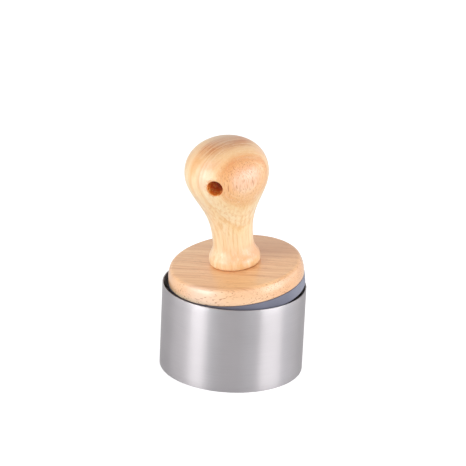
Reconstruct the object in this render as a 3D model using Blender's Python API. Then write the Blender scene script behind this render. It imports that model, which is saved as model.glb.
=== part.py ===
"""Round cookie stamp standing in its cutter ring.

A thin steel cutter ring stands on the bench and a turned wooden stamp leans in it.
The stamp is a knob handle screwed to a round disc. The disc's spigot carries a
stretched-on silicone die with a raised rosette, which prints the dough.

Units are metres and +Z is up. The origin is the centre of the ring's bottom edge,
and the hanging bore through the knob opens towards -Y.
"""

import math

import bmesh
import bpy
from mathutils import Matrix, Vector

# Cutter ring
RING_OUTER_DIAMETER = 0.0630
RING_HEIGHT = 0.0382
RING_WALL = 0.0005
WELD_WIDTH = 0.0006
WELD_DEPTH = 0.00012

# Clearances between pieces
SEAT_GAP = 0.0003
RING_CLEARANCE = 0.0012
DIE_OVERHANG = 0.0001

# Wooden disc
DISC_THICKNESS = 0.0073
DISC_EDGE_ROUND = 0.0018
DISC_SIDE_ROUND = 0.0080
DISC_SIDE_START = 0.0016
DISC_LOWER_ROUND = 0.0005

# Silicone die
DIE_BAND_HEIGHT = 0.0046
DIE_WALL = 0.0022
DIE_FLOOR = 0.0016
DIE_FACE_ROUND = 0.0005
DIE_RIM_ROUND = 0.0003
LIP_HEIGHT = 0.0009
LIP_REACH = 0.0009
LIP_CHAMFER = 0.0004

# Relief on the die's face
RELIEF_HEIGHT = 0.0018
RELIEF_DRAFT = 0.0002
RELIEF_ROOT = 0.0004
BORDER_MARGIN = 0.0015
BORDER_WIDTH = 0.0012
BEAD_DIAMETER = 0.0024
BEAD_PITCH = 0.0048
BEAD_MARGIN = 0.0013
PETAL_COUNT = 8
PETAL_MARGIN = 0.0012
PETAL_SPACING = 0.0036
PETAL_RIM = 0.0009
PETAL_DISH = 0.0010
LEAFLET_LENGTH = 0.0056
LEAFLET_WIDTH = 0.0028
BOSS_DIAMETER = 0.0090
BOSS_MARGIN = 0.0012
BOSS_RING_WIDTH = 0.0011
BUTTON_DIAMETER = 0.0040

# Turned handle
HANDLE_LENGTH = 0.0572
FOOT_DIAMETER = 0.0224
FOOT_ROUND = 0.0010
NECK_DIAMETER = 0.01775
NECK_HEIGHT = 0.0103
KNOB_DIAMETER = 0.0363
KNOB_HEIGHT = 0.0422
SWELL_LATENESS = 1.34
CROWN_FULLNESS = 2.14
BORE_DIAMETER = 0.0067
BORE_HEIGHT = 0.0419

# Countersunk wood screw
SCREW_LENGTH = 0.0300
SCREW_SHANK_DIAMETER = 0.0040
SCREW_HEAD_DIAMETER = 0.0080
SCREW_HEAD_EDGE = 0.0004
SCREW_POINT_LENGTH = 0.0035
RECESS_SPAN = 0.0042
RECESS_WIDTH = 0.0011
RECESS_DEPTH = 0.0018
RECESS_TAPER = 0.45
PILOT_RUNOUT = 0.0015
PILOT_CONE = 0.0013

# How the loose stamp rests in the ring
LEAN_LEFT = math.radians(6.01)
LEAN_FORWARD = math.radians(5.62)
STAMP_STANDOFF = 0.00330
SIDE_SHIFT = 0.00050

# Facet counts
RING_FACETS = 96
DISC_FACETS = 80
DIE_FACETS = 80
HANDLE_FACETS = 44
BORE_FACETS = 24
SCREW_FACETS = 24
BEAD_FACETS = 10
BUTTON_FACETS = 20
PETAL_ARC_STEPS = 9
ROUND_STEPS = 3
SIDE_STEPS = 4
FOOT_STEPS = 6
SWELL_STEPS = 14
CROWN_STEPS = 10

# Sizes that follow from the ones above
RING_BORE_RADIUS = RING_OUTER_DIAMETER / 2 - RING_WALL
DIE_RADIUS = RING_BORE_RADIUS - RING_CLEARANCE
DISC_RADIUS = DIE_RADIUS - DIE_OVERHANG
CUP_RADIUS = DIE_RADIUS - DIE_WALL
SPIGOT_RADIUS = CUP_RADIUS - SEAT_GAP
SPIGOT_HEIGHT = DIE_BAND_HEIGHT - DIE_FLOOR
GROOVE_RADIUS = SPIGOT_RADIUS - LIP_REACH
GROOVE_HEIGHT = LIP_HEIGHT + 2 * SEAT_GAP
HOLE_RADIUS = SCREW_SHANK_DIAMETER / 2 + SEAT_GAP
HEAD_RADIUS = SCREW_HEAD_DIAMETER / 2
SCREW_GRIP = SPIGOT_HEIGHT + DISC_THICKNESS

# Shading and merging
MERGE_DISTANCE = 0.000001
SHARP_ANGLE = math.radians(35)
FLAT_NORMAL = 0.999


def arc(centre_r, centre_z, radius, start, end, steps):
    """Points of a circular arc in the (radius, height) plane, angles in degrees."""
    points = []
    for index in range(steps + 1):
        angle = math.radians(start + (end - start) * index / steps)
        points.append((centre_r + radius * math.cos(angle), centre_z + radius * math.sin(angle)))
    return points


def revolve(profile, facets, closed):
    """Turn a (radius, height) profile round Z; an open one starts and ends on the axis."""
    mesh = bmesh.new()
    verts = [mesh.verts.new((radius, 0.0, height)) for radius, height in profile]
    edges = [mesh.edges.new(pair) for pair in zip(verts, verts[1:])]
    if closed:
        edges.append(mesh.edges.new((verts[-1], verts[0])))
    bmesh.ops.spin(
        mesh,
        geom=verts + edges,
        cent=(0.0, 0.0, 0.0),
        axis=(0.0, 0.0, 1.0),
        angle=math.tau,
        steps=facets,
        use_merge=True,
    )
    bmesh.ops.remove_doubles(mesh, verts=mesh.verts, dist=MERGE_DISTANCE)
    bmesh.ops.recalc_face_normals(mesh, faces=mesh.faces)
    return mesh


def turned(point, angle):
    """A plan point turned about the origin."""
    x, y = point
    return (x * math.cos(angle) - y * math.sin(angle), x * math.sin(angle) + y * math.cos(angle))


def extrude_outline(mesh, outline, base_z, top_z, draft):
    """Raise a flat outline from base_z to top_z, drawn in by the draft; returns its top face."""
    middle = sum((Vector(point) for point in outline), Vector((0.0, 0.0))) / len(outline)
    base = [mesh.verts.new((x, y, base_z)) for x, y in outline]
    top = []
    for x, y in outline:
        inward = (middle - Vector((x, y))).normalized() * draft
        top.append(mesh.verts.new((x + inward.x, y + inward.y, top_z)))
    count = len(outline)
    for index in range(count):
        after = (index + 1) % count
        mesh.faces.new((base[index], base[after], top[after], top[index]))
    mesh.faces.new(reversed(base))
    return mesh.faces.new(top)


def lens_outline(start, end, width, steps, turn):
    """Leaf shape between two radii on a ray, bounded by two equal circular arcs."""
    middle = (start + end) / 2
    half_length = (end - start) / 2
    half_width = width / 2
    arc_radius = (half_length ** 2 + half_width ** 2) / (2 * half_width)
    reach = math.asin(half_length / arc_radius)
    points = []
    for side in (-1, 1):
        for index in range(steps):
            angle = reach * (2 * index / steps - 1)
            x = middle - side * arc_radius * math.sin(angle)
            y = side * (arc_radius * math.cos(angle) - arc_radius + half_width)
            points.append((x, y))
    return [turned(point, turn) for point in points]


def finish(name, colour, roughness, metallic=0.0):
    """Principled material for one piece."""
    material = bpy.data.materials.new(name)
    material.use_nodes = True
    shader = material.node_tree.nodes["Principled BSDF"]
    shader.inputs["Base Color"].default_value = (*colour, 1.0)
    shader.inputs["Roughness"].default_value = roughness
    shader.inputs["Metallic"].default_value = metallic
    return material


def add_piece(name, mesh, material=None, parent=None, height=0.0):
    """Make an object from a bmesh, set on its parent's axis; only its round faces are smooth."""
    for face in mesh.faces:
        face.smooth = abs(face.normal.z) < FLAT_NORMAL
    data = bpy.data.meshes.new(name)
    mesh.to_mesh(data)
    mesh.free()
    data.set_sharp_from_angle(angle=SHARP_ANGLE)
    piece = bpy.data.objects.new(name, data)
    bpy.context.collection.objects.link(piece)
    piece.parent = parent
    piece.location = (0.0, 0.0, height)
    if material is not None:
        data.materials.append(material)
    return piece


def combine(piece, name, mesh, operation):
    """Cut or join a tool shape with a piece, then mark the new edges that are sharp."""
    tool = add_piece(name, mesh, parent=piece)
    boolean = piece.modifiers.new(name, "BOOLEAN")
    boolean.operation = operation
    boolean.solver = "EXACT"
    boolean.object = tool
    bpy.context.view_layer.update()
    plain = piece.data
    worked = bpy.data.meshes.new_from_object(piece.evaluated_get(bpy.context.evaluated_depsgraph_get()))
    worked.name = piece.name
    worked.set_sharp_from_angle(angle=SHARP_ANGLE)
    piece.modifiers.clear()
    piece.data = worked
    bpy.data.objects.remove(tool)
    bpy.data.meshes.remove(plain)


def build_ring():
    """Rolled steel strip, with the shallow groove of its butt weld at the back (+Y)."""
    outer = RING_OUTER_DIAMETER / 2
    profile = [(outer, RING_HEIGHT), (outer, 0.0), (RING_BORE_RADIUS, 0.0), (RING_BORE_RADIUS, RING_HEIGHT)]
    ring = add_piece(
        "cutter_ring",
        revolve(profile, RING_FACETS, closed=True),
        finish("satin_steel", (0.55, 0.54, 0.54), 0.32, 1.0),
    )
    groove = bmesh.new()
    outline = [
        (0.0, outer - WELD_DEPTH),
        (WELD_WIDTH, outer + WELD_DEPTH),
        (-WELD_WIDTH, outer + WELD_DEPTH),
    ]
    extrude_outline(groove, outline, -WELD_WIDTH, RING_HEIGHT + WELD_WIDTH, 0.0)
    bmesh.ops.recalc_face_normals(groove, faces=groove.faces)
    combine(ring, "weld_groove", groove, "DIFFERENCE")
    return ring


def seated_in_ring():
    """Empty at the centre of the disc's lower face, leaning until the die meets the wall."""
    cos_tilt = math.cos(LEAN_FORWARD) * math.cos(LEAN_LEFT)
    sin_tilt = math.sqrt(1.0 - cos_tilt ** 2)
    raised_side = Vector((math.sin(LEAN_LEFT), math.sin(LEAN_FORWARD) * math.cos(LEAN_LEFT)))
    raised_side.normalize()
    across = Vector((raised_side.y, -raised_side.x))
    edge_depth = SEAT_GAP + DIE_BAND_HEIGHT - DIE_FACE_ROUND
    edge_radius = DIE_RADIUS - DIE_FACE_ROUND
    die_reach = sin_tilt * edge_depth + cos_tilt * edge_radius + DIE_FACE_ROUND
    wall_radius = RING_BORE_RADIUS * math.cos(math.pi / RING_FACETS)
    shift = raised_side * (wall_radius - SEAT_GAP - die_reach) + across * SIDE_SHIFT
    carriage = bpy.data.objects.new("stamp_carriage", None)
    bpy.context.collection.objects.link(carriage)
    carriage.location = (shift.x, shift.y, RING_HEIGHT + STAMP_STANDOFF)
    carriage.rotation_mode = "ZYX"
    carriage.rotation_euler = (LEAN_FORWARD, -LEAN_LEFT, 0.0)
    return carriage


def disc_edge():
    """Rim of the disc from its flat top to its lower face.

    A small round runs tangentially into a broad arc, the arc ends upright in the wall,
    and a second small round closes the lower edge.
    """
    reach = DISC_SIDE_ROUND - DISC_EDGE_ROUND
    rise = DISC_THICKNESS - DISC_EDGE_ROUND - DISC_SIDE_START
    meeting = math.degrees(math.asin(rise / reach))
    side_r = DISC_RADIUS - DISC_SIDE_ROUND
    edge_r = side_r + math.sqrt(reach ** 2 - rise ** 2)
    lower_r = DISC_RADIUS - DISC_LOWER_ROUND
    points = arc(edge_r, DISC_SIDE_START + rise, DISC_EDGE_ROUND, 90, meeting, ROUND_STEPS)
    points += arc(side_r, DISC_SIDE_START, DISC_SIDE_ROUND, meeting, 0, SIDE_STEPS)[1:]
    return points + arc(lower_r, DISC_LOWER_ROUND, DISC_LOWER_ROUND, 0, -90, ROUND_STEPS)


def build_disc(carriage):
    """Wooden disc: rounded rim, spigot with a lip groove, countersunk screw hole."""
    spigot_z = -SPIGOT_HEIGHT
    countersink_radius = HEAD_RADIUS + SEAT_GAP * math.sqrt(2) + SEAT_GAP + SCREW_HEAD_EDGE
    countersink_depth = countersink_radius - HOLE_RADIUS
    profile = [(HOLE_RADIUS, DISC_THICKNESS)] + disc_edge()
    profile += [
        (GROOVE_RADIUS, 0.0),
        (GROOVE_RADIUS, -GROOVE_HEIGHT + LIP_CHAMFER),
        (SPIGOT_RADIUS, -GROOVE_HEIGHT),
        (SPIGOT_RADIUS, spigot_z),
        (countersink_radius, spigot_z),
        (HOLE_RADIUS, spigot_z + countersink_depth),
    ]
    return add_piece(
        "stamp_disc",
        revolve(profile, DISC_FACETS, closed=True),
        finish("disc_wood", (0.75, 0.46, 0.24), 0.5),
        carriage,
    )


def handle_profile():
    """Outer side of the handle from the crown down to its foot.

    The crown is a superellipse, the swell a late half-cosine from neck to knob,
    the cove a half-cosine from neck to foot, and the foot's edge a quarter round.
    """
    knob = KNOB_DIAMETER / 2
    neck = NECK_DIAMETER / 2
    foot = FOOT_DIAMETER / 2
    crown_height = HANDLE_LENGTH - KNOB_HEIGHT
    points = [(0.0, HANDLE_LENGTH)]
    for index in range(1, CROWN_STEPS):
        angle = math.pi / 2 * index / CROWN_STEPS
        power = 2 / CROWN_FULLNESS
        height = KNOB_HEIGHT + crown_height * math.cos(angle) ** power
        points.append((knob * math.sin(angle) ** power, height))
    for index in range(SWELL_STEPS):
        share = 1.0 - index / SWELL_STEPS
        rise = (1 - math.cos(math.pi * share ** SWELL_LATENESS)) / 2
        points.append((neck + (knob - neck) * rise, NECK_HEIGHT + (KNOB_HEIGHT - NECK_HEIGHT) * share))
    for index in range(FOOT_STEPS):
        share = index / FOOT_STEPS
        spread = (1 - math.cos(math.pi * share)) / 2
        points.append((neck + (foot - neck) * spread, NECK_HEIGHT + (FOOT_ROUND - NECK_HEIGHT) * share))
    return points + arc(foot - FOOT_ROUND, FOOT_ROUND, FOOT_ROUND, 0, -90, ROUND_STEPS)


def build_handle(carriage):
    """Turned handle with the screw's pilot hole below and the hanging bore across the knob."""
    pilot_depth = SCREW_LENGTH - SCREW_GRIP + PILOT_RUNOUT
    profile = handle_profile()
    profile += [(HOLE_RADIUS, 0.0), (HOLE_RADIUS, pilot_depth), (0.0, pilot_depth + PILOT_CONE)]
    handle = add_piece(
        "handle",
        revolve(profile, HANDLE_FACETS, closed=False),
        finish("handle_wood", (0.86, 0.60, 0.34), 0.42),
        carriage,
        DISC_THICKNESS + SEAT_GAP,
    )
    bore = bmesh.new()
    along_y = Matrix.Translation((0.0, 0.0, BORE_HEIGHT)) @ Matrix.Rotation(math.pi / 2, 4, "X")
    bmesh.ops.create_cone(
        bore,
        cap_ends=True,
        segments=BORE_FACETS,
        radius1=BORE_DIAMETER / 2,
        radius2=BORE_DIAMETER / 2,
        depth=KNOB_DIAMETER + BORE_DIAMETER,
        matrix=along_y,
    )
    combine(handle, "hanging_bore", bore, "DIFFERENCE")
    return handle


def cross_outline():
    """Twelve corners of the screw's cross recess."""
    arm = RECESS_SPAN / 2
    half = RECESS_WIDTH / 2
    quarter = [(arm, -half), (arm, half), (half, half)]
    points = []
    for turn in range(4):
        points += [turned(point, turn * math.pi / 2) for point in quarter]
    return points


def build_screw(carriage):
    """Countersunk wood screw from the spigot's face up into the handle, point upwards."""
    shank = SCREW_SHANK_DIAMETER / 2
    cone_end = SCREW_HEAD_EDGE + HEAD_RADIUS - shank
    profile = [
        (0.0, SCREW_LENGTH),
        (shank, SCREW_LENGTH - SCREW_POINT_LENGTH),
        (shank, cone_end),
        (HEAD_RADIUS, SCREW_HEAD_EDGE),
        (HEAD_RADIUS, 0.0),
        (0.0, 0.0),
    ]
    screw = add_piece(
        "handle_screw",
        revolve(profile, SCREW_FACETS, closed=False),
        finish("zinc_steel", (0.62, 0.62, 0.60), 0.35, 1.0),
        carriage,
        SEAT_GAP - SPIGOT_HEIGHT,
    )
    recess = bmesh.new()
    outline = cross_outline()
    floor = extrude_outline(recess, outline, -RECESS_WIDTH, RECESS_DEPTH, 0.0)
    taper = Matrix.Diagonal((RECESS_TAPER, RECESS_TAPER, 1.0, 1.0))
    bmesh.ops.transform(recess, matrix=taper, verts=floor.verts)
    bmesh.ops.recalc_face_normals(recess, faces=recess.faces)
    combine(screw, "cross_recess", recess, "DIFFERENCE")
    return screw


def add_band(mesh, middle_radius, width, base_z, crest_z, facets):
    """Add a raised circular line with drafted sides to the relief."""
    half = width / 2
    profile = [
        (middle_radius + half, base_z),
        (middle_radius + half - RELIEF_DRAFT, crest_z),
        (middle_radius - half + RELIEF_DRAFT, crest_z),
        (middle_radius - half, base_z),
    ]
    band = revolve(profile, facets, closed=True)
    data = bpy.data.meshes.new("relief_line")
    band.to_mesh(data)
    band.free()
    mesh.from_mesh(data)
    bpy.data.meshes.remove(data)


def add_stud(mesh, x, y, diameter, base_z, crest_z, facets):
    """Add a round stud with drafted sides to the relief."""
    height = abs(crest_z - base_z)
    place = Matrix.Translation((x, y, (base_z + crest_z) / 2))
    bmesh.ops.create_cone(
        mesh,
        cap_ends=True,
        segments=facets,
        radius1=diameter / 2 - RELIEF_DRAFT,
        radius2=diameter / 2,
        depth=height,
        matrix=place,
    )


def add_petal(mesh, start, end, width, turn, base_z, crest_z):
    """Add a leaf-shaped petal whose middle is dished below its raised rim."""
    outline = lens_outline(start, end, width, PETAL_ARC_STEPS, turn)
    crest = extrude_outline(mesh, outline, base_z, crest_z, RELIEF_DRAFT)
    mesh.normal_update()
    bmesh.ops.inset_region(mesh, faces=[crest], thickness=PETAL_RIM, use_even_offset=True)
    bmesh.ops.translate(mesh, verts=crest.verts, vec=(0.0, 0.0, PETAL_DISH))


def build_relief():
    """The rosette: border line, row of beads, dished petals, leaflets and a ringed centre."""
    mesh = bmesh.new()
    face_z = -DIE_BAND_HEIGHT
    base_z = face_z + RELIEF_ROOT
    crest_z = face_z - RELIEF_HEIGHT
    border_outer = DIE_RADIUS - DIE_FACE_ROUND - BORDER_MARGIN
    border_middle = border_outer - BORDER_WIDTH / 2
    bead_circle = border_outer - BORDER_WIDTH - BEAD_MARGIN - BEAD_DIAMETER / 2
    petal_tip = bead_circle - BEAD_DIAMETER / 2 - PETAL_MARGIN
    boss_radius = BOSS_DIAMETER / 2
    petal_start = boss_radius + BOSS_MARGIN
    pitch_angle = math.tau / PETAL_COUNT
    petal_width = (petal_start + petal_tip) * math.tan(pitch_angle / 2) - PETAL_SPACING

    add_band(mesh, border_middle, BORDER_WIDTH, base_z, crest_z, DIE_FACETS)
    add_band(mesh, boss_radius - BOSS_RING_WIDTH / 2, BOSS_RING_WIDTH, base_z, crest_z, BUTTON_FACETS)
    add_stud(mesh, 0.0, 0.0, BUTTON_DIAMETER, base_z, crest_z, BUTTON_FACETS)
    bead_count = round(math.tau * bead_circle / BEAD_PITCH)
    for index in range(bead_count):
        angle = math.tau * index / bead_count
        x = bead_circle * math.cos(angle)
        y = bead_circle * math.sin(angle)
        add_stud(mesh, x, y, BEAD_DIAMETER, base_z, crest_z, BEAD_FACETS)
    for index in range(PETAL_COUNT):
        add_petal(mesh, petal_start, petal_tip, petal_width, index * pitch_angle, base_z, crest_z)
        leaflet = lens_outline(
            petal_tip - LEAFLET_LENGTH,
            petal_tip,
            LEAFLET_WIDTH,
            PETAL_ARC_STEPS // 2,
            (index + 0.5) * pitch_angle,
        )
        extrude_outline(mesh, leaflet, base_z, crest_z, RELIEF_DRAFT)
    bmesh.ops.recalc_face_normals(mesh, faces=mesh.faces)
    return mesh


def build_die(carriage):
    """Silicone cup whose lip snaps into the spigot's groove, with the relief on its face."""
    face_z = -DIE_BAND_HEIGHT
    floor_z = face_z + DIE_FLOOR
    lip_radius = CUP_RADIUS - LIP_REACH
    profile = [
        (0.0, floor_z),
        (CUP_RADIUS, floor_z),
        (CUP_RADIUS, -LIP_HEIGHT),
        (lip_radius, -LIP_HEIGHT + LIP_CHAMFER),
        (lip_radius, 0.0),
    ]
    profile += arc(DIE_RADIUS - DIE_RIM_ROUND, -DIE_RIM_ROUND, DIE_RIM_ROUND, 90, 0, ROUND_STEPS)
    profile += arc(DIE_RADIUS - DIE_FACE_ROUND, face_z + DIE_FACE_ROUND, DIE_FACE_ROUND, 0, -90, ROUND_STEPS)
    profile.append((0.0, face_z))
    die = add_piece(
        "silicone_die",
        revolve(profile, DIE_FACETS, closed=False),
        finish("blue_grey_silicone", (0.20, 0.23, 0.31), 0.55),
        carriage,
        -SEAT_GAP,
    )
    combine(die, "rosette_relief", build_relief(), "UNION")
    return die


def main():
    """Clear the scene and build the ring, then the stamp leaning in it."""
    for old in list(bpy.data.objects):
        bpy.data.objects.remove(old, do_unlink=True)
    build_ring()
    carriage = seated_in_ring()
    build_disc(carriage)
    build_handle(carriage)
    build_screw(carriage)
    build_die(carriage)


main()
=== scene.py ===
"""Round cookie stamp leaning in its steel cutter ring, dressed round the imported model.

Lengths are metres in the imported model's frame: +Z is up and the origin is the centre of
the ring's bottom edge. The stamp's pieces are worked out on the stamp's own axis, with
the disc's lower face at height nought, and are then set leaning in the ring.
"""

import logging
import math
from dataclasses import dataclass, field
from enum import Enum

import bpy
import numpy as np
from mathutils import Euler, Matrix, Vector

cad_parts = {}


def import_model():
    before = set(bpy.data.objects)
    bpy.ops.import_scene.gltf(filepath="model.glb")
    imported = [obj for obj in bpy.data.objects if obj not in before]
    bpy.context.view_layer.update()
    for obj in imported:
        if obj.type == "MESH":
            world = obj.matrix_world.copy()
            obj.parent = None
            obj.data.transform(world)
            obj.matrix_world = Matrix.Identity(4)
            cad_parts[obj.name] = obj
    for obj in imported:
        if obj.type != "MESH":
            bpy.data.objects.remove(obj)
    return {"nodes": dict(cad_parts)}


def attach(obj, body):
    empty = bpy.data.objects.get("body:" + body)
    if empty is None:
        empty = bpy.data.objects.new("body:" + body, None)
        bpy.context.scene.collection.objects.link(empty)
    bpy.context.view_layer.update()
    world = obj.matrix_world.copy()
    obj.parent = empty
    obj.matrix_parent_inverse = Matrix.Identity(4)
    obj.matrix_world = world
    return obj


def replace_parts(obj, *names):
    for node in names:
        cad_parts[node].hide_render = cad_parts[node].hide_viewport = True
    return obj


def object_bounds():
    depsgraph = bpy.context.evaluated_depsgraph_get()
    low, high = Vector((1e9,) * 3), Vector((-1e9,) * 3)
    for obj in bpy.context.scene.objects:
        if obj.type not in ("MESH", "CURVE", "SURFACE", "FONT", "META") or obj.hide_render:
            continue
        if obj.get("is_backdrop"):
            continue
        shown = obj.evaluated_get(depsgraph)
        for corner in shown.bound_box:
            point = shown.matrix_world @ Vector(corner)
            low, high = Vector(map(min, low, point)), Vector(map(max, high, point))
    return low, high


LOG = logging.getLogger("cookie_stamp")
MM = 0.001
SHARP_EDGE = math.radians(38)
TURN_UV = "turned"

Colour = tuple[float, float, float]
Socket = bpy.types.NodeSocket
Material = bpy.types.Material
WHITE: Colour = (1.0, 1.0, 1.0)
# Where most of a noise lies, from the widest share of it to the narrowest.
MOST, MIDDLE, CORE = (0.2, 0.8), (0.25, 0.75), (0.3, 0.7)


class Body(Enum):
    """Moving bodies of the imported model."""

    CUTTER = "cutter"
    STAMP = "stamp"


class Slot(Enum):
    """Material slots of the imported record."""

    RING_STEEL = "ring_steel"
    HANDLE_WOOD = "handle_wood"
    DISC_WOOD = "disc_wood"
    SCREW_STEEL = "screw_steel"
    SILICONE = "silicone"


class Read(Enum):
    """What a window reads: a place in millimetres, or a noise."""

    X = "x"
    Y = "y"
    Z = "z"
    BESIDE = "beside the weld"
    RADIUS = "off the axis"
    DEPTH = "depth in the wood"
    LONG = "along the grain"
    CROSS = "across the grain"
    ENDS = "towards either end of the grain"
    STREAKS = "streaks"
    LINES = "lines"
    STROKES = "pore strokes"
    CROWD = "crowding of the pores"


X, Y, Z, BESIDE, RADIUS, DEPTH, LONG, CROSS, ENDS, STREAKS, LINES, STROKES, CROWD = Read
Window = tuple[Read, float, float] | tuple[Read, float, float, float, float]


def painted(red: int, green: int, blue: int) -> Colour:
    """Linear colour of a display colour given in steps of 255.

    Each channel is share / 12.92 near black, otherwise ((share + 0.055) / 1.055) ** 2.4.

    Args:
        red: Red from 0 to 255.
        green: Green from 0 to 255.
        blue: Blue from 0 to 255.

    Returns:
        The three linear channels.
    """
    shares = [value / 255 for value in (red, green, blue)]
    return tuple(
        share / 12.92 if share <= 0.04045 else ((share + 0.055) / 1.055) ** 2.4
        for share in shares
    )


# Surfaces


@dataclass
class Shell:
    """One closed surface: points, faces by corner number, and perhaps a UV for each corner."""

    points: np.ndarray
    faces: list[list[int]]
    corner_uv: np.ndarray | None = None


def arc(
    centre: tuple[float, float], radius: float, start: float, end: float, steps: int
) -> np.ndarray:
    """Rows of (radius, height) along a circular arc.

    Each row is the centre plus the radius times (cos a, sin a), for equal steps of a.

    Args:
        centre: Radius and height of the arc's centre.
        radius: The arc's radius.
        start: First angle in degrees.
        end: Last angle in degrees.
        steps: Number of equal steps.

    Returns:
        An array of steps + 1 rows.
    """
    angles = np.radians(np.linspace(start, end, steps + 1))
    return np.array(centre) + radius * np.column_stack((np.cos(angles), np.sin(angles)))


def ring_faces(rows: int, columns: int, wrap: bool) -> np.ndarray:
    """Corner numbers of the four-sided faces of a grid whose columns close into a ring.

    Face (i, j) joins points (i, j), (i + 1, j), (i + 1, j + 1) and (i, j + 1).

    Args:
        rows: Number of rings in the grid.
        columns: Number of points in each ring.
        wrap: Whether the last ring joins the first one.

    Returns:
        An array of faces with four corner numbers each.
    """
    spans = rows if wrap else rows - 1
    i, j = np.meshgrid(np.arange(spans), np.arange(columns), indexing="ij")
    below = (i + 1) % rows * columns
    beside = (j + 1) % columns
    corners = (i * columns + j, below + j, below + beside, i * columns + beside)
    return np.stack(corners, axis=-1).reshape(-1, 4)


def outward(shell: Shell) -> Shell:
    """Turn a shell's faces round if they point inwards.

    The signed volume is the sum over fan triangles of a . (b x c) / 6.

    Args:
        shell: A closed shell.

    Returns:
        The same shell with a positive volume.
    """
    volume = 0.0
    for size in (3, 4):
        rows = np.array([face for face in shell.faces if len(face) == size])
        if len(rows):
            corner = shell.points[rows]
            for step in range(1, size - 1):
                sides = np.cross(corner[:, step], corner[:, step + 1])
                volume += np.einsum("ij,ij->", corner[:, 0], sides)
    if volume < 0:
        shell.faces = [face[::-1] for face in shell.faces]
    return shell


def ringed(
    rings: np.ndarray, first: np.ndarray | None, last: np.ndarray | None, wrap: bool = False
) -> Shell:
    """Close a stack of rings of points into a shell.

    Neighbouring rings are joined by four-sided faces, and an end is closed by a fan of
    three-sided faces round its pole.

    Args:
        rings: Array of (rings, points, 3).
        first: Pole that closes the first ring, or None.
        last: Pole that closes the last ring, or None.
        wrap: Whether the last ring joins the first one.

    Returns:
        The shell, facing outwards.
    """
    rows, columns = rings.shape[:2]
    points = [rings.reshape(-1, 3)]
    faces = ring_faces(rows, columns, wrap).tolist()
    around = np.arange(columns)
    beside = (around + 1) % columns
    end = (rows - 1) * columns
    count = rows * columns
    for pole, fan in ((first, (around, beside)), (last, (end + beside, end + around))):
        if pole is not None:
            points.append(np.reshape(pole, (1, 3)))
            faces += np.column_stack((np.full(columns, count), *fan)).tolist()
            count += 1
    return outward(Shell(np.concatenate(points), faces))


def lathe(profile: np.ndarray, angles: np.ndarray, wrap: bool = False) -> Shell:
    """Turn a profile of (radius, height) rows round the upright axis.

    Point (i, j) is (radius_i cos a_j, radius_i sin a_j, height_i). A profile that starts
    or ends on the axis is closed there by a pole.

    Args:
        profile: Rows of (radius, height), from one end to the other.
        angles: Angles in radians, one for each column.
        wrap: Whether the profile closes on itself.

    Returns:
        The turned shell.
    """
    on_axis = profile[:, 0] < 1e-9
    radius, height = profile[~on_axis].T
    level = np.repeat(height[:, None], len(angles), axis=1)
    sides = (np.outer(radius, np.cos(angles)), np.outer(radius, np.sin(angles)), level)
    poles = [
        np.array((0.0, 0.0, profile[end, 1])) if on_axis[end] else None for end in (0, -1)
    ]
    return ringed(np.stack(sides, axis=-1), *poles, wrap)


def even_angles(count: int) -> np.ndarray:
    """Equal angles in radians round a full turn, without the last one, which is the first."""
    return np.linspace(0.0, math.tau, count, endpoint=False)


def wave(share: np.ndarray) -> np.ndarray:
    """Smooth rise from 0 to 1: (1 - cos(pi t)) / 2."""
    return (1.0 - np.cos(math.pi * share)) / 2


def shown(name: str, data: bpy.types.ID) -> bpy.types.Object:
    """Make an object at the origin from its data and put it in the scene.

    Args:
        name: The object's name.
        data: Its mesh, lamp or camera.

    Returns:
        The object.
    """
    thing = bpy.data.objects.new(name, data)
    bpy.context.scene.collection.objects.link(thing)
    return thing


def add_piece(name: str, shells: list[Shell]) -> bpy.types.Object:
    """Put shells into one smooth-shaded object at the origin, whose sharp edges stay crisp.

    Args:
        name: Name of the object and of its mesh.
        shells: Closed shells in the frame.

    Returns:
        The object, in the scene.
    """
    points, faces, count = [], [], 0
    for shell in shells:
        points.append(shell.points)
        faces += [[corner + count for corner in face] for face in shell.faces]
        count += len(shell.points)
    mesh = bpy.data.meshes.new(name)
    mesh.from_pydata(np.concatenate(points).tolist(), [], faces)
    if all(shell.corner_uv is not None for shell in shells):
        layer = mesh.uv_layers.new(name=TURN_UV)
        layer.data.foreach_set("uv", np.concatenate([shell.corner_uv for shell in shells]).ravel())
    mesh.shade_smooth()
    mesh.set_sharp_from_angle(angle=SHARP_EDGE)
    mesh.update()
    return shown(name, mesh)


def cut(piece: bpy.types.Object, tool: Shell, name: str) -> None:
    """Cut a tool's shape out of a piece for good, and mark the new sharp edges.

    Args:
        piece: The object that is cut.
        tool: The closed shell of what is taken away.
        name: Name for the short-lived tool object.
    """
    cutter = add_piece(name, [tool])
    boolean = piece.modifiers.new(name, "BOOLEAN")
    boolean.operation = "DIFFERENCE"
    boolean.solver = "EXACT"
    boolean.object = cutter
    bpy.context.view_layer.update()
    plain, tool_mesh = piece.data, cutter.data
    evaluated = piece.evaluated_get(bpy.context.evaluated_depsgraph_get())
    worked = bpy.data.meshes.new_from_object(evaluated)
    worked.name = plain.name + "_cut"
    piece.modifiers.clear()
    piece.data = worked
    worked.set_sharp_from_angle(angle=SHARP_EDGE)
    bpy.data.objects.remove(cutter)
    bpy.data.meshes.remove(tool_mesh)
    bpy.data.meshes.remove(plain)


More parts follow.
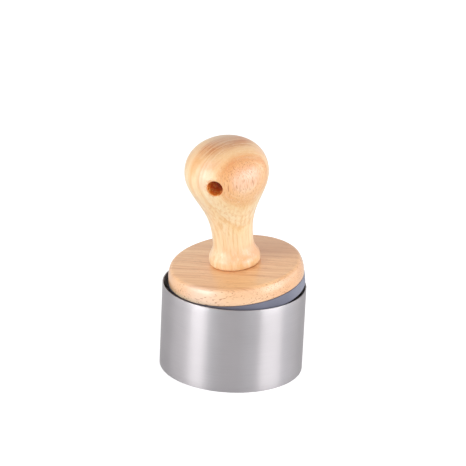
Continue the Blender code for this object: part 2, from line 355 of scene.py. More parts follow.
@dataclass(frozen=True)
class StampSeat:
    """Where the stamp's own axis stands in the frame: leaning left and forward in the ring."""

    lean_left: float = math.radians(6.01)
    lean_forward: float = math.radians(5.62)
    centre: tuple[float, float, float] = (0.74716 * MM, 0.01212 * MM, 41.5 * MM)

    def turn(self) -> Matrix:
        """Rotation from the stamp's own axes to the frame's."""
        return Matrix.Rotation(self.lean_forward, 3, "X") @ Matrix.Rotation(-self.lean_left, 3, "Y")

    def place(self, shell: Shell) -> Shell:
        """Move a shell into the frame: turn its points, then add the centre."""
        shell.points = shell.points @ np.array(self.turn()).T + np.array(self.centre)
        return shell

    def own_axes(self) -> tuple[Vector, Euler]:
        """Shift and turn that bring the frame's millimetres back to the stamp's own axes."""
        back = self.turn().transposed()
        return -(back @ Vector(self.centre)) / MM, back.to_euler("XYZ")


# Finishes


@dataclass(frozen=True)
class Swells:
    """A noise from 0 to 1, with so many swells for each unit along the three axes."""

    pitch: tuple[float, float, float]
    detail: float = 2.0
    roughness: float = 0.5


@dataclass(frozen=True)
class Patch:
    """A tone laid over a finish by the product of its windows, or by another such product.

    A window is what it reads, the low and high of that, and perhaps the shares at both,
    which are otherwise 0 and 1.
    """

    name: str
    tone: Colour
    windows: tuple[Window, ...]
    either: tuple[Window, ...] = ()
    tint: bool = False


class Nodes:
    """Adds and joins the nodes of one shader tree."""

    def __init__(self, tree: bpy.types.NodeTree) -> None:
        """Take the tree that gets the nodes."""
        self.tree = tree

    def node(self, kind: str, sockets: dict, **settings) -> bpy.types.Node:
        """Add a node and fill its sockets.

        Args:
            kind: Node type without its ShaderNode prefix.
            sockets: Socket name or number, and its value or the output that feeds it.
            **settings: The node's own settings.

        Returns:
            The node.
        """
        made = self.tree.nodes.new("ShaderNode" + kind)
        for name, value in settings.items():
            setattr(made, name, value)
        for socket, value in sockets.items():
            self.feed(made.inputs[socket], value)
        return made

    def feed(self, socket: Socket, value: object) -> None:
        """Set a socket to a value, or join an output to it.

        Args:
            socket: The input.
            value: A value or an output.
        """
        if isinstance(value, Socket):
            self.tree.links.new(value, socket)
        else:
            socket.default_value = value

    def sum(self, kind: str, *values: object) -> Socket:
        """One sum of the Math node, such as ADD, of one to three numbers."""
        return self.node("Math", dict(enumerate(values)), operation=kind).outputs[0]

    def times(self, first: object, *others: object) -> Socket:
        """The product of some numbers.

        Args:
            first: A number.
            *others: More numbers.

        Returns:
            Their product.
        """
        for other in others:
            first = self.sum("MULTIPLY", first, other)
        return first


class Bench(Nodes):
    """Makes the nodes of one surface material."""

    def __init__(self, name: str) -> None:
        """Start a material of the given name.

        Args:
            name: The material's name.
        """
        self.material = bpy.data.materials.new(name)
        self.material.use_nodes = True
        super().__init__(self.material.node_tree)

    def place(self) -> Socket:
        """Object coordinates, in metres."""
        return self.node("TexCoord", {}).outputs["Object"]

    def own_place(self, seat: StampSeat) -> Socket:
        """Object coordinates brought to the stamp's own axes, in millimetres.

        Args:
            seat: Where the stamp stands.

        Returns:
            The place.
        """
        shift, back = seat.own_axes()
        sockets = {"Vector": self.place(), "Location": shift, "Rotation": back}
        sockets["Scale"] = (1 / MM,) * 3
        return self.node("Mapping", sockets, vector_type="POINT").outputs[0]

    def hypotenuse(self, first: object, second: object) -> Socket:
        """Square root of the sum of two squares."""
        squares = [self.times(value, value) for value in (first, second)]
        return self.sum("SQRT", self.sum("ADD", *squares))

    def scaled(self, vector: object, by: tuple[float, float, float]) -> Socket:
        """A vector with each part multiplied."""
        return self.node("VectorMath", {0: vector, 1: by}, operation="MULTIPLY").outputs[0]

    def along(self, vector: object, direction: tuple[float, float, float]) -> Socket:
        """How far a vector reaches in a direction: their dot product."""
        sockets = {0: vector, 1: direction}
        return self.node("VectorMath", sockets, operation="DOT_PRODUCT").outputs["Value"]

    def parts(self, vector: object) -> list[Socket]:
        """The X, Y and Z parts of a vector."""
        return list(self.node("SeparateXYZ", {0: vector}).outputs)

    def joined(self, x: object, y: object, z: object) -> Socket:
        """A vector from three numbers."""
        return self.node("CombineXYZ", {0: x, 1: y, 2: z}).outputs[0]

    def noise(self, vector: object, swells: Swells) -> Socket:
        """Smooth noise from 0 to 1 on a vector.

        Args:
            vector: Where.
            swells: Its scale and detail.

        Returns:
            The noise.
        """
        sockets = {"Vector": self.scaled(vector, swells.pitch), "Scale": 1.0}
        sockets |= {"Detail": swells.detail, "Roughness": swells.roughness}
        return self.node("TexNoise", sockets).outputs["Fac"]

    def span(
        self, value: object, low: float, high: float, start: float = 0.0, end: float = 1.0
    ) -> Socket:
        """Map low to high smoothly onto start to end, held at both ends.

        Args:
            value: What is mapped.
            low: Where the change starts.
            high: Where it ends.
            start: The result at low.
            end: The result at high.

        Returns:
            The mapped number.
        """
        names = ("Value", "From Min", "From Max", "To Min", "To Max")
        sockets = dict(zip(names, (value, low, high, start, end)))
        return self.node("MapRange", sockets, interpolation_type="SMOOTHSTEP").outputs[0]

    def share(self, values: dict[Read, Socket], windows: tuple[Window, ...]) -> Socket:
        """The product of some windows on the values that they read."""
        return self.times(*(self.span(values[reads], *ends) for reads, *ends in windows))

    def ramp(self, value: object, stops: list[tuple[float, Colour]]) -> Socket:
        """Colour ramp over a value from 0 to 1.

        Args:
            value: What the ramp reads.
            stops: Place from 0 to 1 and linear colour of each stop, in order.

        Returns:
            The colour output.
        """
        made = self.node("ValToRGB", {0: value})
        elements = made.color_ramp.elements
        while len(elements) < len(stops):
            elements.new(0.5)
        for element, (place, colour) in zip(elements, stops):
            element.position = place
            element.color = (*colour, 1.0)
        return made.outputs["Color"]

    def blend(self, share: object, base: object, over: object, how: str = "MIX") -> Socket:
        """Lay one colour over another by a share.

        Args:
            share: How much of the upper colour shows.
            base: The colour below.
            over: The colour above.
            how: The blend type.

        Returns:
            The colour.
        """
        made = self.node("Mix", {0: share}, data_type="RGBA", blend_type=how, clamp_result=True)
        for number, value in ((6, base), (7, over)):
            self.feed(made.inputs[number], value if isinstance(value, Socket) else (*value, 1.0))
        return made.outputs[2]

    def shaded(self, colour: object, shade: Socket, red_share: float = 1.0) -> Socket:
        """A colour times a shade, with its red held back by a share."""
        tint = self.joined(self.times(shade, red_share), shade, shade)
        return self.blend(1.0, colour, tint, "MULTIPLY")

    def patched(
        self, colour: object, values: dict[Read, Socket], patches: tuple[Patch, ...]
    ) -> Socket:
        """Lay patches over a colour, one after another.

        Args:
            colour: The colour below.
            values: What the windows read.
            patches: The patches, from the lowest one up.

        Returns:
            The colour on top.
        """
        for patch in patches:
            share = self.share(values, patch.windows)
            if patch.either:
                share = self.sum("MAXIMUM", share, self.share(values, patch.either))
            over = self.blend(1.0, colour, patch.tone, "MULTIPLY") if patch.tint else patch.tone
            colour = self.blend(share, colour, over)
            colour.node.label = patch.name
        return colour

    def bump(self, height: object, distance: float, strength: float) -> Socket:
        """Bend the shading normal by a height."""
        sockets = {"Height": height, "Distance": distance, "Strength": strength}
        return self.node("Bump", sockets).outputs[0]

    def finish(self, sockets: dict) -> Material:
        """Feed the surface shader's sockets and return the material.

        Args:
            sockets: Socket names and what feeds them.

        Returns:
            The material.
        """
        shader = self.tree.nodes["Principled BSDF"]
        for socket, value in sockets.items():
            self.feed(shader.inputs[socket], value)
        return self.material


@dataclass(frozen=True)
class SatinSteel:
    """Thin stainless sheet, brushed round the ring, with the faint tint of its butt weld."""

    colour: Colour = painted(195, 191, 194)
    brushing: Swells = Swells((1.6, 1.0, 5.0), 4.0, 0.7)
    clouds: Swells = Swells((45.0, 45.0, 60.0))
    streak: float = 0.05
    cloud: float = 0.03
    roughness: float = 0.42
    roughness_swing: float = 0.04
    stretch: float = 0.88
    relief: tuple[float, float] = (0.004 * MM, 0.5)
    turn: float = 0.25
    patches: tuple[Patch, ...] = (
        Patch("weld", painted(150, 138, 128), ((BESIDE, 0.15, 0.7, 0.6, 0), (Y, 0, 1))),
        # Darker, warmer inside wall: painted shade with a painted warm reflection of the wood.
        Patch("painted shade and warm reflection inside", painted(184, 174, 170), ((RADIUS, 31.2, 31.1),)),
    )

    def material(self) -> Material:
        """Fine streaks round the axis: noise on (angle, height), with a weld line at the back and
        painted shade with a warm painted reflection on the inside.

        Returns:
            The steel material.
        """
        bench = Bench("brushed_satin_steel")
        place = bench.place()
        x, y, z = bench.parts(bench.scaled(place, (1 / MM,) * 3))
        brushing = bench.noise(bench.joined(bench.sum("ARCTAN2", y, x), 0.0, z), self.brushing)
        clouds = bench.noise(place, self.clouds)
        shade = bench.times(
            bench.span(brushing, *MOST, 1.0 - self.streak, 1.0 + self.streak),
            bench.span(clouds, *MIDDLE, 1.0 - self.cloud, 1.0 + self.cloud),
        )
        values = {BESIDE: bench.sum("ABSOLUTE", x), Y: y, RADIUS: bench.hypotenuse(x, y)}
        low, high = self.roughness - self.roughness_swing, self.roughness + self.roughness_swing
        tangent = bench.node("Tangent", {}, direction_type="UV_MAP", uv_map=TURN_UV).outputs[0]
        return bench.finish(
            {
                "Base Color": bench.patched(bench.shaded(self.colour, shade), values, self.patches),
                "Metallic": 1.0,
                "Roughness": bench.span(brushing, *MOST, low, high),
                "Anisotropic": self.stretch,
                "Anisotropic Rotation": self.turn,
                "Tangent": tangent,
                "Normal": bench.bump(brushing, *self.relief),
            }
        )


@dataclass(frozen=True)
class ZincSteel:
    """Zinc-plated screw steel: small cloudy grey crystals."""

    light: Colour = painted(205, 205, 198)
    dark: Colour = painted(160, 162, 158)
    crystals: Swells = Swells((900.0, 900.0, 900.0), 4.0)
    relief: tuple[float, float] = (0.02 * MM, 0.3)
    roughness: tuple[float, float] = (0.30, 0.45)

    def material(self) -> Material:
        """Cloudy noise between two greys drives colour and roughness.

        Returns:
            The plated steel material.
        """
        bench = Bench("zinc_plated_steel")
        clouds = bench.noise(bench.place(), self.crystals)
        return bench.finish(
            {
                "Base Color": bench.ramp(clouds, list(zip(CORE, (self.dark, self.light)))),
                "Metallic": 1.0,
                "Roughness": bench.span(clouds, *CORE, *self.roughness),
                "Normal": bench.bump(clouds, *self.relief),
            }
        )


@dataclass(frozen=True)
class MattSilicone:
    """Moulded blue-grey silicone with a fine matt skin, with painted shade at the front left and
    painted light at the right.
    """

    seat: StampSeat
    colour: Colour = painted(116, 118, 135)
    shadow: Colour = painted(107, 108, 124)
    clouds: Swells = Swells((120.0, 120.0, 120.0), 3.0)
    skin: Swells = Swells((5200.0, 5200.0, 5200.0))
    relief: tuple[float, float] = (0.02 * MM, 0.35)
    specular: float = 0.4
    roughness: tuple[float, float] = (0.52, 0.62)
    patches: tuple[Patch, ...] = (
        # Darker front left: painted shade where the ring's lip and the disc overhang the band.
        Patch("painted shade front left", painted(92, 88, 97), ((X, 20, -4, 0, 0.9), (Y, -6, -20))),
        # Lighter right side: painted light where the right lamps fall on the band.
        Patch("painted light right", painted(148, 150, 164), ((X, 26, 31, 0, 0.6),)),
    )

    def material(self) -> Material:
        """Soft clouds between two blue-greys, a patch of painted shade and one of painted light,
        and a fine pebbled bump.

        Returns:
            The silicone material.
        """
        bench = Bench("blue_grey_silicone")
        place = bench.place()
        clouds = bench.noise(place, self.clouds)
        skin = bench.noise(place, self.skin)
        x, y, _ = bench.parts(bench.own_place(self.seat))
        colour = bench.ramp(clouds, list(zip(CORE, (self.shadow, self.colour))))
        return bench.finish(
            {
                "Base Color": bench.patched(colour, {X: x, Y: y}, self.patches),
                "Roughness": bench.span(skin, *CORE, *self.roughness),
                "Specular IOR Level": self.specular,
                "Normal": bench.bump(skin, *self.relief),
            }
        )


@dataclass(frozen=True)
class Wood:
    """What both woods share: fibre and pores along the grain, under a satin coat."""

    seat: StampSeat
    red_share: float = 0.93
    shade: tuple[float, float] = (0.94, 1.015)
    roughness: tuple[float, float] = (0.36, 0.46)
    coat: float = 0.75
    coat_roughness: float = 0.28
    relief: tuple[float, float] = (0.05 * MM, 0.5)
    fibre_relief: float = 0.25
    pore_relief: float = 0.12

    def shaded(self, bench: Bench, colour: Socket, fibre: Socket) -> Socket:
        """The colour, darker and lighter by the fibre."""
        return bench.shaded(colour, bench.span(fibre, *MIDDLE, *self.shade), self.red_share)

    def coated(self, bench: Bench, colour: Socket, fibre: Socket, pores: Socket) -> Material:
        """The finished material, whose relief is the fibre less the pores.

        Args:
            bench: The material's bench.
            colour: The wood's colour.
            fibre: The fibre's noise.
            pores: The share of pores.

        Returns:
            The wood material.
        """
        sunk = bench.times(pores, self.pore_relief)
        height = bench.sum("SUBTRACT", bench.times(fibre, self.fibre_relief), sunk)
        return bench.finish(
            {
                "Base Color": colour,
                "Roughness": bench.span(fibre, *MIDDLE, *self.roughness),
                "Coat Weight": self.coat,
                "Coat Roughness": self.coat_roughness,
                "Normal": bench.bump(height, *self.relief),
            }
        )


@dataclass(frozen=True)
class TurnedWood(Wood):
    """Pale turned wood whose growth rings make an oval on the knob and tongues on the neck.

    Distances are millimetres on the stamp's own axes. The rings are cylinders round a
    far pith, so the distance from the pith less the pith's own distance is a depth
    that names each layer of the wood.
    """

    bark_bearing: float = math.radians(-42.6)
    bark_tilt: float = 0.10
    knob_height: float = 50.0
    pith_distance: float = 105.0
    lowest: float = -24.0
    highest: float = 24.0
    slow_bend: Swells = Swells((0.13, 0.13, 0.05))
    quick_bend: Swells = Swells((1.1, 1.1, 0.12))
    slow: float = 0.4
    quick: float = 0.14
    streaks: Swells = Swells((1.7, 0.1, 0.07), 4.0, 0.65)
    lines: Swells = Swells((0.85, 0.85, 0.05), 4.0, 0.62)
    fibre: Swells = Swells((5.0, 5.0, 0.22), 3.0, 0.6)
    strokes: Swells = Swells((3.4, 3.4, 0.23), 1.0)
    crowd: Swells = Swells((0.16, 0.16, 0.05), 1.0)
    torn: Swells = Swells((0.9, 0.5, 0.9), 4.0, 0.7)
    pore_colour: Colour = painted(186, 106, 54)
    pore_strength: tuple[float, float] = (0.42, 0.9)
    pore_windows: tuple[Window, ...] = ((STROKES, 0.55, 0.66), (CROWD, 0.35, 0.65, 0.7, 1),
        (DEPTH, 12.6, 14.6, 0.3, 1))
    oval_windows: tuple[Window, ...] = ((Z, 44, 49), (DEPTH, 14.5, 16.5))
    bore_height: float = 49.5
    torn_share: tuple[float, float] = (0.47, 0.60)
    ragged: tuple[float, float, float, float] = (0.40, 0.62, 0.0, 1.1)
    edge: tuple[float, float] = (4.0, 3.4)
    edge_left: tuple[float, float, float, float] = (1.0, -1.5, 0.15, 0.75)
    inside: tuple[float, float] = (3.5, 3.38)
    bore_colour: Colour = painted(236, 130, 36)
    torn_colour: Colour = painted(255, 204, 120)
    edge_colour: Colour = painted(212, 150, 92)
    layers: tuple[tuple[float, int, int, int], ...] = (
        (-20.0, 255, 226, 184), (-13.0, 255, 226, 184), (-12.2, 251, 208, 156),
        (-9.0, 254, 221, 178), (-5.2, 255, 223, 180), (-4.6, 249, 205, 152), (-0.4, 254, 221, 177),
        (0.9, 252, 202, 147), (2.7, 250, 197, 140), (3.8, 254, 218, 174), (6.8, 253, 213, 164),
        (7.2, 246, 197, 144), (7.8, 255, 223, 184), (12.4, 254, 214, 166), (13.9, 248, 189, 133),
        (14.7, 240, 166, 104), (15.6, 247, 185, 129), (16.8, 250, 193, 144), (18.2, 251, 200, 162),
    )
    patches: tuple[Patch, ...] = (
        Patch("oval's lower rim", painted(250, 199, 149), ((DEPTH, 12.6, 13.8), (DEPTH, 16.8, 15.4),
            (Z, 45.5, 40, 0, 0.6))),
        Patch("streaks", painted(238, 184, 128), ((STREAKS, 0.48, 0.72, 0, 0.42),)),
        Patch("pale streaks", painted(255, 234, 204), ((STREAKS, 0.5, 0.28, 0, 0.45),)),
        Patch("plain neck", painted(254, 214, 170), ((Z, 46, 36, 0, 0.7), (DEPTH, 6.6, 5.8))),
        Patch("warm left", painted(244, 184, 118), ((DEPTH, 1, 2.8), (DEPTH, 6.2, 4.4),
            (Z, 51, 55.5, 0, 0.72), (Z, 61.5, 59.5))),
        # Painted shade that cools the highlights beside the bore and inside the oval.
        Patch("painted tint over highlights beside the oval and in it", (0.99, 0.92, 0.96), ((Z, 61.5, 59), (Z, 47, 50),
            (DEPTH, 5, 7.5), (DEPTH, 13, 11.5)), ((DEPTH, 16, 17.2), (Z, 59, 57), (Z, 46, 50)),
            tint=True),
        Patch("beside the bore", painted(240, 168, 106), ((DEPTH, 14.2, 15.2), (DEPTH, 17.6, 16.4),
            (X, 9.5, 6, 0, 0.6), (Z, 43, 48))),
        Patch("dark band over the knob", painted(212, 130, 60), ((DEPTH, -3.5, 2.2),
            (DEPTH, 12, 6.8), (Z, 59.6, 63.9), (STREAKS, 0.38, 0.58, 0.4, 1.1))),
        Patch("upper knob", (0.97, 0.83, 0.73), ((Z, 52, 59),), tint=True),
        Patch("foot", (0.98, 0.81, 0.76), ((Z, 19.5, 13.5), (X, -5.5, -0.5, 0.2, 1),
            (Z, 9.5, 12.5, 0.5, 1)), tint=True),
        # Painted shade that damps the highlight on the foot's right side.
        Patch("painted shade over the foot's right highlight", (0.98, 0.88, 0.86), ((Z, 19.5, 14.5), (Z, 9.5, 12.5),
            (X, 3.5, 8.5)), tint=True),
        # Greyish tone on the crown's top: a painted reflection.
        Patch("crown", painted(204, 172, 148), ((Z, 63.2, 65, 0, 0.4),)),
        Patch("lines", painted(238, 182, 122), ((Z, 47, 38, 0.35, 1),
            (LINES, 0.47, 0.63, 0, 0.62))),
        Patch("pale lines", painted(255, 229, 196), ((Z, 47, 38, 0.35, 1),
            (LINES, 0.46, 0.34, 0, 0.45))),
    )

    def depth(self, bench: Bench, own: Socket) -> Socket:
        """Depth of a point in the wood.

        With a along the bark's direction from the pith and s across it, the depth is
        sqrt(a^2 + s^2) less the pith's distance, bent a little by slow noise.

        Args:
            bench: The material's bench.
            own: Place on the stamp's own axes in millimetres.

        Returns:
            The depth in millimetres.
        """
        cos, sin = math.cos(self.bark_bearing), math.sin(self.bark_bearing)
        start = self.pith_distance - self.bark_tilt * self.knob_height
        reach = bench.sum("ADD", bench.along(own, (cos, sin, self.bark_tilt)), start)
        side = bench.along(own, (-sin, cos, 0.0))
        depth = bench.sum("SUBTRACT", bench.hypotenuse(reach, side), self.pith_distance)
        slow = bench.span(bench.noise(own, self.slow_bend), *MOST, -self.slow, self.slow)
        quick = bench.span(bench.noise(own, self.quick_bend), *MOST, -self.quick, self.quick)
        return bench.sum("ADD", depth, bench.sum("ADD", slow, quick))

    def bored(self, bench: Bench, own: Socket, colour: Socket) -> Socket:
        """Raw wood inside the bore, torn in places, and a ragged darker edge round its mouths.

        Args:
            bench: The material's bench.
            own: Place on the stamp's own axes in millimetres.
            colour: The wood's colour.

        Returns:
            The colour with the bore's own.
        """
        x, _, z = bench.parts(own)
        off_bore = bench.hypotenuse(x, bench.sum("SUBTRACT", z, self.bore_height))
        torn = bench.noise(own, self.torn)
        ragged = bench.sum("SUBTRACT", off_bore, bench.span(torn, *self.ragged))
        edge = bench.times(bench.span(ragged, *self.edge), bench.span(x, *self.edge_left))
        raw = bench.blend(bench.span(torn, *self.torn_share), self.bore_colour, self.torn_colour)
        edged = bench.blend(edge, colour, self.edge_colour)
        return bench.blend(bench.span(off_bore, *self.inside), edged, raw)

    def material(self) -> Material:
        """Layers by depth, patches over them (some are painted shade over highlights and a painted
        reflection on the crown), fibre, pores along the grain, and the bore.

        Returns:
            The handle's wood material.
        """
        bench = Bench("turned_pale_wood")
        own = bench.own_place(self.seat)
        depth = self.depth(bench, own)
        wide = self.highest - self.lowest
        stops = [((at - self.lowest) / wide, painted(*tone)) for at, *tone in self.layers]
        colour = bench.ramp(bench.sum("MULTIPLY_ADD", depth, 1 / wide, -self.lowest / wide), stops)
        x, _, z = bench.parts(own)
        values = {
            X: x,
            Z: z,
            DEPTH: depth,
            STREAKS: bench.noise(bench.joined(depth, x, z), self.streaks),
            LINES: bench.noise(own, self.lines),
            STROKES: bench.noise(own, self.strokes),
            CROWD: bench.noise(own, self.crowd),
        }
        colour = bench.patched(colour, values, self.patches)
        fibre = bench.noise(own, self.fibre)
        colour = self.shaded(bench, colour, fibre)
        pores = bench.share(values, self.pore_windows)
        oval = bench.share(values, self.oval_windows)
        strength = bench.span(oval, 0.0, 1.0, *self.pore_strength)
        colour = bench.blend(bench.times(pores, strength), colour, self.pore_colour)
        return self.coated(bench, self.bored(bench, own, colour), fibre, pores)


@dataclass(frozen=True)
class BoardWood(Wood):
    """Pale board wood with fine straight grain across the disc."""

    red_share: float = 0.95
    shade: tuple[float, float] = (0.93, 1.04)
    roughness: tuple[float, float] = (0.38, 0.48)
    coat: float = 1.0
    coat_roughness: float = 0.22
    fibre_relief: float = 0.3
    pore_relief: float = 1.0
    grain_bearing: float = math.radians(-1.5)
    dark: Colour = painted(216, 150, 101)
    mid: Colour = painted(243, 183, 131)
    light: Colour = painted(254, 201, 148)
    stops: tuple[float, float, float] = (0.37, 0.48, 0.60)
    slant: tuple[float, float, float] = (0.0, 0.9, 0.15)
    level: tuple[float, float, float] = (0.0, 1.6, 1.2)
    upright: tuple[float, float, float] = (0.0, -1.2, 1.6)
    bend: Swells = Swells((0.03, 0.08, 0.0))
    sway: float = 0.8
    broad: Swells = Swells((0.010, 0.20, 3.0))
    streaks: Swells = Swells((0.030, 1.3, 7.0), 4.0, 0.65)
    broad_share: float = 0.38
    fine: Swells = Swells((0.16, 3.4, 3.4), 3.0, 0.6)
    dashes: Swells = Swells((0.55, 1.0, 1.0), 1.0)
    crowd: Swells = Swells((0.12, 0.12, 0.12), 1.0)
    pore_colour: Colour = painted(168, 102, 62)
    pore_strength: float = 0.7
    pore_windows: tuple[Window, ...] = ((STROKES, 0.59, 0.68), (CROWD, 0.38, 0.56, 0.15, 1),
        (Z, 7.2, 6.6, 0.35, 1))
    patches: tuple[Patch, ...] = (
        Patch("rim", painted(247, 193, 150), ((Z, 7.1, 5.8, 0, 0.75),)),
        # Lighter low rim: painted light where the ring's wall keeps light from it.
        Patch("painted light on the low rim", painted(252, 203, 163), ((Z, 4.6, 1, 0, 0.8),)),
        # Lighter foot of the rim at the left: painted light in the narrow gap by the ring.
        Patch("painted light on the rim's foot at the left", painted(255, 232, 202), ((Z, 2.6, 0.4, 0, 0.8),
            (LONG, 2, -10))),
        Patch("end grain", painted(234, 172, 122), ((ENDS, 16, 28), (Z, 7.25, 6.4, 0, 0.6))),
        Patch("end grain at the right", painted(234, 172, 122), ((LONG, 20, 29, 0, 0.35),
            (Z, 7.25, 6.4))),
        Patch("far part of the top", painted(213, 150, 106), ((CROSS, 2, 12, 0, 0.55),
            (LONG, -9, 3), (LONG, 30, 20, 0.4, 1), (Z, 6.4, 7.1)), ((CROSS, 4, 14, 0, 0.35),
            (LONG, -4, -12), (Z, 6.4, 7.1))),
        # Darker front of the top, just inside the rim: painted shade.
        Patch("painted shade at the front of the top", (0.96, 0.93, 0.88), ((CROSS, -10, -20), (RADIUS, 27.4, 26.4)),
            tint=True),
        # Pale pinkish rim at the front left: a painted highlight of the left lamp.
        Patch("painted highlight on the rim at the front left", painted(255, 219, 198), ((LONG, -18, -8),
            (LONG, 8, -6, 0, 0.55), (CROSS, -10, -20), (RADIUS, 26.6, 28.6))),
    )

    def material(self) -> Material:
        """Streaks along the grain in slanted layers, patches (some are painted light and shade on
        the rim and top, and a painted highlight), and pores along the grain.

        Returns:
            The disc's wood material.
        """
        bench = Bench("fine_grained_board")
        own = bench.own_place(self.seat)
        cos, sin = math.cos(self.grain_bearing), math.sin(self.grain_bearing)
        long = bench.along(own, (cos, sin, 0.0))
        cross = bench.along(own, (-sin, cos, 0.0))
        up = bench.parts(own)[2]
        board = bench.joined(long, cross, up)
        bend = bench.span(bench.noise(board, self.bend), *MOST, -self.sway, self.sway)
        slant = bench.sum("ADD", bench.along(board, self.slant), bend)
        layer = bench.joined(long, slant, 1.0)
        mixed = bench.sum(
            "ADD",
            bench.times(bench.noise(layer, self.broad), self.broad_share),
            bench.times(bench.noise(layer, self.streaks), 1.0 - self.broad_share),
        )
        colour = bench.ramp(mixed, list(zip(self.stops, (self.dark, self.mid, self.light))))
        level, upright = (bench.along(board, way) for way in (self.level, self.upright))
        values = {
            LONG: long,
            CROSS: cross,
            Z: up,
            ENDS: bench.sum("ABSOLUTE", long),
            RADIUS: bench.hypotenuse(long, cross),
            STROKES: bench.noise(bench.joined(long, level, upright), self.dashes),
            CROWD: bench.noise(own, self.crowd),
        }
        colour = bench.patched(colour, values, self.patches)
        fine = bench.noise(board, self.fine)
        colour = self.shaded(bench, colour, fine)
        pores = bench.share(values, self.pore_windows)
        colour = bench.blend(bench.times(pores, self.pore_strength), colour, self.pore_colour)
        return self.coated(bench, colour, fine, pores)


def dress(piece: bpy.types.Object, finish: bpy.types.Material, body: Body) -> None:
    """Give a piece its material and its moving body.

    Args:
        piece: The object.
        finish: Its material.
        body: The body that it rides on.
    """
    piece.data.materials.clear()
    piece.data.materials.append(finish)
    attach(piece, body.value)


# Sub-assemblies


@dataclass
class CutterRing:
    """Rolled and butt-welded steel ring with softened lips."""

    outer_radius: float = 31.5 * MM
    wall: float = 0.5 * MM
    height: float = 38.2 * MM
    lip_round: float = 0.16 * MM
    lip_steps: int = 4
    weld_depth: float = 0.11 * MM
    weld_width: float = 0.38 * MM
    segments: int = 288
    weld_segments: int = 24
    weld_reach: float = 4.0
    weld_gap: float = 1.05
    wall_rows: int = 12
    finish: SatinSteel = field(default_factory=SatinSteel)

    def angles(self) -> np.ndarray:
        """Equal angles, with closer ones where the weld line is, at the back.

        Returns:
            Sorted angles in radians.
        """
        reach = self.weld_reach * self.weld_width / self.outer_radius
        close = math.pi / 2 + np.linspace(-reach, reach, self.weld_segments + 1)
        wide = even_angles(self.segments)
        wide = wide[np.abs(wide - math.pi / 2) > reach * self.weld_gap]
        return np.sort(np.concatenate((wide, close)))

    def profile(self) -> np.ndarray:
        """Section of the wall: two straight sides joined by quarter rounds at each lip.

        Returns:
            Rows of (radius, height).
        """
        outer, lip, steps = self.outer_radius, self.lip_round, self.lip_steps
        inner, high = outer - self.wall, self.height - lip
        side = np.linspace(high, lip, self.wall_rows + 1)[1:-1]
        return np.concatenate(
            (
                arc((outer - lip, high), lip, 90, 0, steps),
                np.column_stack((np.full(len(side), outer), side)),
                arc((outer - lip, lip), lip, 0, -90, steps),
                arc((inner + lip, lip), lip, -90, -180, steps),
                np.column_stack((np.full(len(side), inner), side[::-1])),
                arc((inner + lip, high), lip, 180, 90, steps),
            )
        )

    def shell(self) -> Shell:
        """The turned section, with the weld's shallow valley in its outer side.

        The outer side sinks by depth * exp(-(s / width)^2), where s is the arc length
        from the weld line.

        Returns:
            The ring's shell with UVs of (share of the turn, share of the section's length).
        """
        profile, angles = self.profile(), self.angles()
        shell = lathe(profile, angles, wrap=True)
        x, y = shell.points[:, 0], shell.points[:, 1]
        radius = np.hypot(x, y)
        off_weld = (np.arctan2(y, x) - math.pi / 2) * self.outer_radius
        outside = np.clip((radius - self.outer_radius + self.wall) / self.wall, 0.0, 1.0)
        sink = self.weld_depth * np.exp(-((off_weld / self.weld_width) ** 2)) * outside
        shell.points[:, :2] *= ((radius - sink) / radius)[:, None]
        shell.corner_uv = self.corner_uv(profile, angles, np.array(shell.faces))
        return shell

    def corner_uv(self, profile: np.ndarray, angles: np.ndarray, corners: np.ndarray) -> np.ndarray:
        """UV of each face corner, with no jump back at either seam.

        Args:
            profile: The section's rows.
            angles: The columns' angles.
            corners: The grid's faces by corner number.

        Returns:
            An array of (corners, 2).
        """
        rows, columns = len(profile), len(angles)
        steps = np.linalg.norm(np.diff(np.vstack((profile, profile[:1])), axis=0), axis=1)
        along = np.append(0.0, np.cumsum(steps)) / steps.sum()
        turn = np.append(angles - angles[0], math.tau) / math.tau
        row, column = (
            np.where((part == 0) & (part.max(axis=1, keepdims=True) == count - 1), count, part)
            for part, count in ((corners // columns, rows), (corners % columns, columns))
        )
        return np.stack((turn[column], along[row]), axis=-1).reshape(-1, 2)

    def build(self) -> bpy.types.Object:
        """Make the ring and dress it.

        Returns:
            The object, standing for its CAD node.
        """
        piece = add_piece("steel_cutter_ring", [self.shell()])
        dress(piece, self.finish.material(), Body.CUTTER)
        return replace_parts(piece, "cutter_ring")


